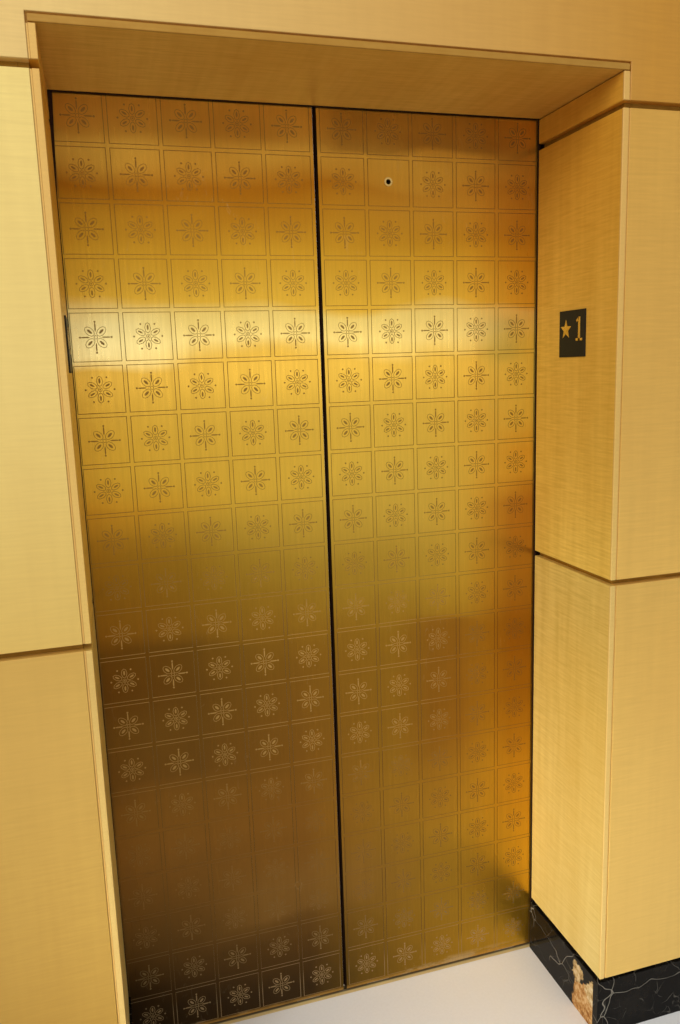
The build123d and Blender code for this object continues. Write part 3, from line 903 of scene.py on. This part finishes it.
def quatrefoil():
    """Four broad petals on the diagonals, each with a heart, and four slim ones between them."""
    broad = ring(4, 0.0165, 0.0120, 0.0078, 0.0011, math.pi / 4, 10)
    hearts = ring(4, 0.0165, 0.0062, 0.0026, 0.0, math.pi / 4, 8)
    slim = ring(4, 0.0205, 0.0100, 0.0016)
    tips = ring(4, 0.0312, 0.0022, 0.0022)
    boss = ring(1, 0.0, 0.0040, 0.0040, 0.0011, sides=10)
    return joined([broad, hearts, slim, tips, boss])


class LANDING_OT_ornaments(bpy.types.Operator):
    """Sets a rosette or a quatrefoil in every cell of both leaves"""

    bl_idname = "landing.ornaments"
    bl_label = "Ornaments on the leaves"

    def execute(self, context):
        grid = context.scene.landing_grid
        for name, side in SIDES.items():
            places = ([], [])
            for column in range(grid.columns):
                x = side * (grid.first_column + (column + 0.5) * grid.column_pitch)
                for row in range(grid.rows):
                    z = grid.first_row + (row + 0.5) * grid.row_pitch
                    if math.hypot(x - KEY_X, z - KEY_Z) >= grid.column_pitch / 2:
                        places[(column + row) % 2].append((x, LEAF_LOW.y, z))
            parts = [copies(make(), spots) for make, spots in zip((rosette, quatrefoil), places)]
            deliver(joined(parts), f"{name}_ornaments", f"{name}_leaf", "etched brass")
        return {"FINISHED"}


# Small shapes
def bar(radius, foot, length, axis="Y", sides=24, soft=0.0):
    """A round or many-sided bar that runs from its foot along Y or Z, with softened ends."""
    middle = Vector(foot)
    middle["XYZ".index(axis)] += length / 2
    piece = start("cylinder", vertices=sides, radius=radius, depth=abs(length), location=middle,
                  rotation=UPRIGHT if axis == "Y" else (0, 0, 0))
    if soft:
        harden(piece, "BEVEL", width=soft, segments=2, limit_method="ANGLE")
    return piece


def slab(first, last, soft=0.0):
    """A block between two opposite corners, with softened edges."""
    first, last = Vector(first), Vector(last)
    size = [abs(a - b) for a, b in zip(first, last)]
    piece = start("cube", size=1, location=(first + last) / 2, scale=size)
    if soft:
        harden(piece, "BEVEL", width=soft, segments=2)
    return piece


def washer(outer, inner, level, thick):
    """A flat ring about Y that starts at a level."""
    return cut(bar(outer, (0, level, 0), thick), bar(inner, (0, level, 0), 4 * thick))


def hex_bolt(across, height):
    """A hexagon head on a washer, and the end of its thread; it points along Y from the origin."""
    seat = 0.0012
    return joined([
        bar(across * 0.75, (0, 0, 0), seat, soft=0.0003),
        bar(across / math.sqrt(3), (0, seat, 0), height, sides=6, soft=0.0005),
        bar(across * 0.28, (0, seat + height, 0), 0.0012, sides=16, soft=0.0004),
    ])


def cap_screw(radius, height):
    """A round head with a socket in it; it points along Y from the origin."""
    head = bar(radius, (0, 0, 0), height, soft=0.0004)
    choose(head, lambda face: face.normal.y > 0.99 and face.center.y > height * 0.9)
    bpy.ops.mesh.inset(thickness=radius * 0.35)
    push(-height * 0.6)
    done()
    return head


def evenly(count, reach):
    """Evenly spaced places from one side of the middle to the other."""
    return [-reach + n * reach * 2 / (count - 1) for n in range(count)]


def fasten(shape, places, name, body="surround", dress="bolt steel"):
    """Sets one fastener at several places, as one piece."""
    return deliver(copies(shape, places), name, body, dress)


class LANDING_OT_masonry(bpy.types.Operator):
    """Lays the piers in blocks with raked mortar joints"""

    bl_idname = "landing.masonry"
    bl_label = "Block piers"

    def execute(self, context):
        sizes = context.scene.landing_fittings
        low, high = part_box("right_pier")
        course = (high.z - low.z) / sizes.courses
        inset = Vector((sizes.raked,) * 3)
        for name, side in SIDES.items():
            blocks = []
            for row in range(sizes.courses):
                bottom = low.z + row * course + (sizes.joint if row else 0.0)
                top = low.z + (row + 1) * course
                split = low.x + sizes.block_length
                if row % 2 == 0:
                    split = high.x - sizes.block_length - sizes.joint
                for inner, outer in ((low.x, split), (split + sizes.joint, high.x)):
                    corners = (side * inner, low.y, bottom), (side * outer, high.y, top)
                    blocks.append(slab(*corners, 0.002))
            body = clothe(joined(blocks), "block")
            mirror = Vector((side, 1, 1))
            core = slab(mirror * (low + inset), mirror * (high - inset))
            wall = joined([body, clothe(core, "mortar")])
            deliver(wall, f"{name}_blocks", "surround")
            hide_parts(f"{name}_pier")
        return {"FINISHED"}


class LANDING_OT_linings(bpy.types.Operator):
    """Adds the corner battens, the quirk beads and the seals round the back of the opening"""

    bl_idname = "landing.linings"
    bl_label = "Battens and seals"

    gap = 0.0003  # between trim and the panels it fills up to
    lip = 0.0012  # from a seal's face to the leaves
    show = 0.0015  # how far a seal stands into the opening
    foot = 0.001  # from the floor to the upright seals
    tall = 0.014  # height of the seal at the head
    edge = 0.004  # from the edges of a seal to its ridge

    def execute(self, context):
        inner, outer = HALF_OPENING, LINING_OUTER
        for name, side in SIDES.items():
            self.battens(name, side)
            self.seal(f"{name}_jamb_seal",
                      (side * (inner - self.show), self.foot, side * outer, SOFFIT),
                      (side * (inner + self.edge), self.foot, side * (outer - self.edge), SOFFIT))
            self.quirk_beads(name, side)
        self.seal("head_seal", (-outer, SOFFIT - self.show, outer, SOFFIT + self.tall),
                  (-outer, SOFFIT + self.edge, outer, SOFFIT + self.tall - self.edge))
        self.loose_seal()
        return {"FINISHED"}

    def battens(self, name, side):
        """Two lengths of batten behind the outer corner of the recess."""
        corner = least("right_pier").x + (PIER_FRONT - FACING_BACK) / 2
        top = least("head_grounds").z
        split = top * 0.42
        lengths = [slab((side * (LINING_OUTER + self.gap), FACING_BACK + self.gap, low),
                        (side * corner, PIER_FRONT - self.gap, high), 0.001)
                   for low, high in ((self.gap, split), (split + 0.001, top - self.gap))]
        deliver(joined(lengths), f"{name}_batten", "surround", "ground board")

    def seal(self, name, flat, ridge):
        """A flat strip of rubber with a ridge along it, each from its first x and z to its last."""
        strips = [slab((x0, WALL_BACK, z0), (x1, -back, z1), soft) for (x0, z0, x1, z1), back, soft in
                  ((flat, self.lip, 0.0006), (ridge, self.lip / 2, 0.0004))]
        deliver(joined(strips), name, "surround", "black rubber")

    def quirk_beads(self, name, side):
        """Beads at the bottom of the quirk beside each reveal panel."""
        lip, depth, gap = 0.011, 0.008, self.gap
        beads = []
        for panel in ("lower", "middle", "upper"):
            low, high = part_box(f"right_reveal_{panel}")
            beads.append(slab((side * (low.x + lip + gap), RECESS_FRONT + depth * 0.25, low.z + gap),
                              (side * (high.x - gap), RECESS_FRONT + depth, high.z - gap), 0.0005))
        deliver(joined(beads), f"{name}_quirk_bead", "surround", "veneer bead")

    def loose_seal(self):
        """The end of a seal that has come out at the left jamb and narrows to its tip."""
        wide, drop = 0.009, 0.205
        tail = slab((-HALF_OPENING, WALL_BACK + 0.0005, SOFFIT - drop),
                    (-HALF_OPENING + wide, -self.lip, SOFFIT - self.show))
        choose(tail, lambda face: face.normal.z < -0.9)
        bpy.ops.transform.resize(value=(0.1, 1, 1), center_override=(-HALF_OPENING, 0, SOFFIT - drop))
        done()
        harden(tail, "BEVEL", width=0.0003, segments=1)
        deliver(tail, "loose_seal", "surround", "black rubber")


# Star and number
def star(size, depth):
    """A five-pointed star with a ridge on every ray; it points along Y from the origin."""
    piece = start("circle", vertices=10, radius=size / 2, fill_type="NGON", rotation=UPRIGHT)
    choose(piece, lambda point: point.index % 2 == 1, "VERT")
    bpy.ops.transform.resize(value=(0.42, 1, 0.42), center_override=(0, 0, 0))
    bpy.ops.mesh.select_all(action="SELECT")
    push(depth * 0.4)
    bpy.ops.mesh.select_mode(type="FACE")
    push(depth * 0.6)
    bpy.ops.transform.resize(value=(0.05, 1, 0.05), center_override=(0, depth, 0))
    closed()
    return piece


def numeral(tall, wide, depth):
    """The figure one with its flag and its foot; it points along Y from the origin."""
    stroke, soft = wide * 0.30, depth * 0.3
    stem = slab((-stroke / 2, 0, -tall / 2), (stroke / 2, depth, tall / 2), soft)
    foot = slab((-wide / 2, 0, -tall / 2), (wide / 2, depth, -tall / 2 + stroke * 0.7), soft)
    flag = slab((-wide * 0.24, 0, -stroke * 0.35), (wide * 0.24, depth, stroke * 0.35), soft)
    flag = moved(flag, (wide * 0.22, 0, tall / 2 - wide * 0.22), (0, math.radians(38), 0))
    return joined([stem, foot, flag])


class LANDING_OT_numbers(bpy.types.Operator):
    """Sets a star and the floor number on both floor plates"""

    bl_idname = "landing.numbers"
    bl_label = "Star and number"

    def execute(self, context):
        depth = context.scene.landing_fittings.relief
        star_edge, number_edge, rise = 0.0276, 0.0214, 0.0095
        level = halfway("right_floor_plate", "z") + rise
        for name, side in SIDES.items():
            if side > 0:
                star_at, number_at = PLATE_HIGH.y - star_edge, PLATE_LOW.y + number_edge
            else:
                star_at, number_at = PLATE_LOW.y + star_edge, PLATE_HIGH.y - number_edge
            signs = ((star(0.044, depth), star_at), (numeral(0.051, 0.025, depth), number_at))
            signs = [moved(sign, (side * PLATE_LOW.x, along, level), (0, 0, side * QUARTER))
                     for sign, along in signs]
            deliver(joined(signs), f"{name}_floor_number", "surround", "number brass")
        return {"FINISHED"}


# Fittings on the shaft side
class LANDING_OT_header_fittings(bpy.types.Operator):
    """Bolts the header, the rail, the stops, the pulleys and the lock"""

    bl_idname = "landing.header_fittings"
    bl_label = "Fittings on the header"

    wall_reach = 1.0  # from the middle of the header to its last bolts
    rail_end = 0.018  # from the end of the rail to its last screw
    sill_end = 0.06  # from the end of the sill to its last screw
    sill_line = 0.0295  # from the leaves' face to the line of the sill's screws
    case_deep = 0.032  # depth of the lock's case

    def execute(self, context):
        bolt = hex_bolt(context.scene.landing_fittings.wall_bolt, 0.0036)
        rows = (WHEEL_HIGH.z + 0.0085, HEADER_TOP - 0.013)
        face = least("lock_box").y
        fasten(bolt, [(x, face, z) for z in rows for x in evenly(6, self.wall_reach)], "header_bolts")

        rail, level = most("track"), halfway("track", "z")
        places = [(x, rail.y, level) for x in evenly(6, rail.x - self.rail_end)]
        fasten(cap_screw(0.0065, 0.0035), places, "rail_screws")

        stop, level = most("end_stops"), halfway("end_stops", "z")
        places = [(side * (stop.x - 0.007), stop.y - 0.0015, level + rise)
                  for side in (-1, 1) for rise in (-0.010, 0.010)]
        fasten(cap_screw(0.0045, 0.003), places, "stop_screws")
        self.pulley_pins()
        self.lock_cover(face)

        places = [(x, self.sill_line, 0.0) for x in evenly(10, most("sill").x - self.sill_end)]
        fasten(moved(cap_screw(0.0045, 0.0004), turn=UPRIGHT), places, "sill_screws",
               dress="sill bronze")
        return {"FINISHED"}

    def pulley_pins(self):
        """A washer, a clip and a nut on the pin of each sheave."""
        low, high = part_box("sheaves")
        level = (low.z + high.z) / 2
        pin = high.x - (high.z - low.z) / 2
        stack = joined([washer(0.0125, 0.0082, high.y + 0.0004, 0.0016),
                        washer(0.0105, 0.0080, high.y + 0.0024, 0.0010),
                        moved(hex_bolt(0.010, 0.003), (0, high.y + 0.005, 0))])
        fasten(stack, [(-pin, 0, level), (pin, 0, level)], "pulley_pins", dress="zinc plate")

    def lock_cover(self, face):
        """The lid of the lock box with its screws, and a ribbed hose up to the header's top."""
        low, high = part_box("lock_box")
        rim, lid, corner = 0.003, 0.0012, 0.008
        hose_x, hose_y, gland_tall, pitch = 0.013, 0.007, 0.008, 0.004
        face += self.case_deep
        run = HEADER_TOP - 0.004 - high.z - gland_tall
        foot = high.z + gland_tall
        cover = slab((low.x + rim, face, low.z + rim), (high.x - rim, face + lid, high.z - rim), 0.0008)
        gland = bar(0.0065, (hose_x, hose_y, high.z), gland_tall, "Z", 6, 0.0006)
        ribs = [bar(0.0042, (hose_x, hose_y, foot + n * pitch), 0.0026, "Z", 14, 0.0008)
                for n in range(int(run / pitch))]
        hose = bar(0.0034, (hose_x, hose_y, foot), run, "Z", 14)
        case = clothe(joined([cover, gland, *ribs, hose]), "lock paint")
        places = [(x, face + lid, z) for x in (low.x + corner, high.x - corner)
                  for z in (low.z + corner, high.z - corner)]
        screws = clothe(copies(cap_screw(0.0028, 0.0016), places), "bolt steel")
        deliver(joined([case, screws]), "lock_cover", "surround")


def bearing(radius):
    """The shields and the circlip of one roller on its axle."""
    front = WHEEL_LOW.y
    return joined([washer(radius, 0.0083, WHEEL_HIGH.y, 0.0008), washer(radius, 0.0083, front, -0.0008),
                   washer(0.0100, 0.0079, front - 0.0012, -0.0010)])


class LANDING_OT_leaf_fittings(bpy.types.Operator):
    """Adds the bolts, bearings, welds, seals and screws that travel with the leaves"""

    bl_idname = "landing.leaf_fittings"
    bl_label = "Fittings on the leaves"

    leaf_bolts = (0.062, 0.205, 0.352, 0.495)  # along X, from the middle of the opening
    latch_pivot = 0.115  # along X, from the middle of the opening

    def execute(self, context):
        sizes = context.scene.landing_fittings
        for name, side in SIDES.items():
            self.hanger_hardware(name, side, sizes)
            self.spot_welds(name, side, sizes.welds)
            self.gib_screws(name, side)
            self.seal_fin(name, side)
        self.key_plug()
        latch = most("latch")
        bolt = moved(hex_bolt(0.010, 0.003), (self.latch_pivot, latch.y, latch.z - 0.008))
        deliver(bolt, "latch_bolt", "right_leaf", "bolt steel")
        return {"FINISHED"}

    def hanger_hardware(self, name, side, sizes):
        """The nuts, bolts and cable clamp of one hanger, and its rollers' bearings."""
        rim, guide_rise, guide_shift = 0.045, 0.014, 0.040
        wheels = (WHEEL_LOW.x + rim, WHEEL_HIGH.x - rim)
        guides = (wheels[0] + guide_shift, wheels[1] - guide_shift)
        wheel_level, guide_level = WHEEL_HIGH.z - rim, WHEEL_LOW.z + guide_rise
        lap = (least("right_hanger").z + LEAF_HIGH.z) / 2
        plate = least("latch").y
        middle, clamp_level = halfway("right_hanger", "x"), most(f"{name}_hanger").z - 0.009
        rows = [
            (hex_bolt(sizes.axle_nut, 0.0055), wheels, wheel_level),
            (hex_bolt(sizes.leaf_bolt, 0.0045), guides, guide_level),
            (hex_bolt(sizes.leaf_bolt, 0.0045), self.leaf_bolts, lap - 0.004),
        ]
        parts = [copies(bolt, [(side * x, plate, level) for x in places])
                 for bolt, places, level in rows]
        clamp = [(side * middle + shift, plate, clamp_level) for shift in (-0.008, 0.008)]
        parts.append(copies(cap_screw(0.0036, 0.004), clamp))
        deliver(joined(parts), f"{name}_hanger_bolts", f"{name}_leaf", "bolt steel")
        parts = [copies(bearing(radius), [(side * x, 0, level) for x in places])
                 for radius, places, level in
                 ((0.020, wheels, wheel_level), (0.0115, guides, guide_level))]
        deliver(joined(parts), f"{name}_bearings", f"{name}_leaf", "zinc plate")

    def spot_welds(self, name, side, count):
        """Two rows of welds up each of the three stiffeners."""
        low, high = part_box("right_stiffeners")
        width, flange, sheet, end = 0.070, 0.0065, 0.0015, 0.03
        pitch = (high.x - low.x - width) / 2
        rise = (high.z - low.z - 2 * end) / (count - 1)
        rows = [low.x + n * pitch + shift for n in range(3) for shift in (flange, width - flange)]
        fasten(bar(0.0030, (0, 0, 0), 0.0003, sides=10),
               [(side * x, low.y + sheet, low.z + end + n * rise) for x in rows for n in range(count)],
               f"{name}_spot_welds", f"{name}_leaf", "back paint")

    def gib_screws(self, name, side):
        """Two screws up into the leaf at each end of both gibs."""
        low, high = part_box("right_gibs")
        half_gib, spacing = 0.045, 0.038
        shoes = (low.x + half_gib, high.x - half_gib)
        fasten(moved(cap_screw(0.0038, 0.0008), turn=(-QUARTER, 0, 0)),
               [(side * (x + shift), halfway("right_gibs", "y"), high.z - 0.003)
                for x in shoes for shift in (-spacing, spacing)], f"{name}_gib_screws", f"{name}_leaf")

    def seal_fin(self, name, side):
        """The fin and the bulb of the rubber on one meeting edge."""
        low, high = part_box("right_meeting_seal")
        middle = halfway("right_meeting_seal", "y")
        fin = slab((side * (low.x + 0.0002), middle - 0.0016, low.z + 0.001),
                   (side * 0.0003, middle + 0.0016, high.z - 0.001), 0.0006)
        bulb = slab((side * low.x, middle - 0.0040, low.z + 0.0005),
                    (side * (low.x - 0.0008), middle + 0.0040, high.z - 0.0005), 0.0003)
        deliver(joined([fin, bulb]), f"{name}_seal_fin", f"{name}_leaf", "black rubber")

    def key_plug(self):
        """The dark plug with a three-sided stud at the bottom of the key hole."""
        plug = bar(0.0053, (KEY_X, 0.030, KEY_Z), 0.006, soft=0.0004)
        stud = bar(0.0036, (KEY_X, 0.014, KEY_Z), 0.017, sides=3, soft=0.0003)
        deliver(joined([plug, stud]), "key_plug", "right_leaf", "lock paint")


# Stage
# The property with a lamp's power, its size, place and target, and its beam in degrees
LAMPS = {
    "key": ("key_power", (2.2, 2.2), (-2.3, -2.7, 3.6), (-0.5, 0.0, 1.2), 180),
    "fill": ("fill_power", (0.7, 0.7), (-1.5, -1.5, 0.6), (0.53, -0.2, 0.30), 44),
    "strip": ("strip_power", (3.6, 0.26), (0.5, -3.4, 1.625), (0.5, 0.0, 1.60), 180),
    "front": ("front_power", (4.8, 3.0), (0.2, -4.2, 1.75), (0.2, 0.0, 1.75), 180),
    "rear": ("key_power", (2.6, 2.6), (1.0, 3.6, 3.6), (0.0, 0.0, 1.2), 180),
}
LAMP_COLOUR = (1.0, 0.97, 0.92)
SKY_COLOUR = (1.0, 0.985, 0.96, 1.0)
FLOOR_HALF = 9.0
CAMERA_PLACE = (-0.4858, -1.7656, 1.5878)
HEADING, TIP, ROLL = -16.24, 90 - 10.14, -1.906


def stage_floor():
    """A plain pale floor, paler to the camera than to the pieces that mirror it."""
    grain = grit(here(), 140.0, 4.0)
    direct = wire("LightPath").outputs["Is Camera Ray"]
    low = tint(direct, (0.62, 0.60, 0.57), (0.88, 0.88, 0.87))
    high = tint(direct, (0.66, 0.64, 0.61), (0.91, 0.91, 0.90))
    return {"Base Color": tint(spread(grain, 0.35, 0.65), low, high), "Roughness": 0.6}


class LANDING_OT_stage(bpy.types.Operator):
    """Lays the pale floor, hangs the lamps and sets up the camera"""

    bl_idname = "landing.stage"
    bl_label = "Floor, light and camera"

    def execute(self, context):
        studio = context.scene.landing_studio
        finish("stage floor", stage_floor)
        lobby = start("cube", size=1, location=(0, WALL_BACK - FLOOR_HALF / 2, BASE / 2),
                      scale=(2 * FLOOR_HALF, FLOOR_HALF, -BASE))
        pit = start("plane", size=1, location=(0, 0, BASE), scale=(2 * FLOOR_HALF, 2 * FLOOR_HALF, 1))
        for piece, name in ((lobby, "lobby_floor"), (pit, "lower_floor")):
            clothe(piece, "stage floor")
            piece.name = name
        for name, (power, *rest) in LAMPS.items():
            self.lamp(name, getattr(studio, power), *rest)
        self.sky(context.scene, studio.sky)
        self.camera(context.scene, studio.lens)
        context.scene.view_settings.view_transform = "Standard"
        return {"FINISHED"}

    def lamp(self, name, power, size, place, target, beam):
        """A soft rectangular lamp that points at a target."""
        bpy.ops.object.light_add(type="AREA", location=place)
        lamp = bpy.context.object
        lamp.name = lamp.data.name = name
        lamp.data.shape = "RECTANGLE"
        lamp.data.size, lamp.data.size_y = size
        lamp.data.energy = power
        lamp.data.spread = math.radians(beam)
        lamp.data.color = LAMP_COLOUR
        lamp.rotation_euler = (Vector(target) - Vector(place)).to_track_quat("-Z", "Y").to_euler()

    def sky(self, scene, strength):
        """A pale world, brighter to the camera than to the pieces."""
        world = scene.world = bpy.data.worlds.new("studio")
        world.use_nodes = True
        Work.tree = world.node_tree
        back = world.node_tree.nodes["Background"]
        back.inputs["Color"].default_value = SKY_COLOUR
        direct = wire("LightPath").outputs["Is Camera Ray"]
        fill(back.inputs["Strength"], spread(direct, 0.0, 1.0, strength, 1.0))

    def camera(self, scene, lens):
        """The camera at the photograph's place, turned right, tipped down and rolled a little."""
        bpy.ops.object.camera_add(location=CAMERA_PLACE)
        camera = bpy.context.object
        heading, tip, roll = (Matrix.Rotation(math.radians(angle), 3, axis)
                              for angle, axis in ((HEADING, "Z"), (TIP, "X"), (ROLL, "Z")))
        camera.rotation_euler = (heading @ tip @ roll).to_euler()
        camera.data.sensor_width = 36.0
        camera.data.lens = lens
        camera.data.clip_start = 0.02
        scene.camera = camera


class LANDING_PT_panel(bpy.types.Panel):
    """Lists the steps that build the entrance."""

    bl_label = "Landing entrance"
    bl_idname = "LANDING_PT_panel"
    bl_space_type = "VIEW_3D"
    bl_region_type = "UI"
    bl_category = "Landing"

    def draw(self, context):
        for step in STEPS:
            self.layout.operator(step.bl_idname)


GROUPS = {"landing_grid": EtchedGrid, "landing_finishes": Finishes, "landing_fittings": Fittings,
          "landing_studio": Studio}
STEPS = (LANDING_OT_finishes, LANDING_OT_leaf_sheets, LANDING_OT_ornaments, LANDING_OT_masonry,
         LANDING_OT_linings, LANDING_OT_numbers, LANDING_OT_header_fittings, LANDING_OT_leaf_fittings,
         LANDING_OT_stage)


def register():
    for kind in (*GROUPS.values(), *STEPS, LANDING_PT_panel):
        bpy.utils.register_class(kind)
    for name, kind in GROUPS.items():
        setattr(bpy.types.Scene, name, PointerProperty(type=kind))


def unregister():
    for name in GROUPS:
        delattr(bpy.types.Scene, name)
    for kind in (LANDING_PT_panel, *reversed(STEPS), *GROUPS.values()):
        bpy.utils.unregister_class(kind)


def main():
    register()
    for step in STEPS:
        area, name = step.bl_idname.split(".")
        getattr(getattr(bpy.ops, area), name)()


if __name__ == "__main__":
    main()
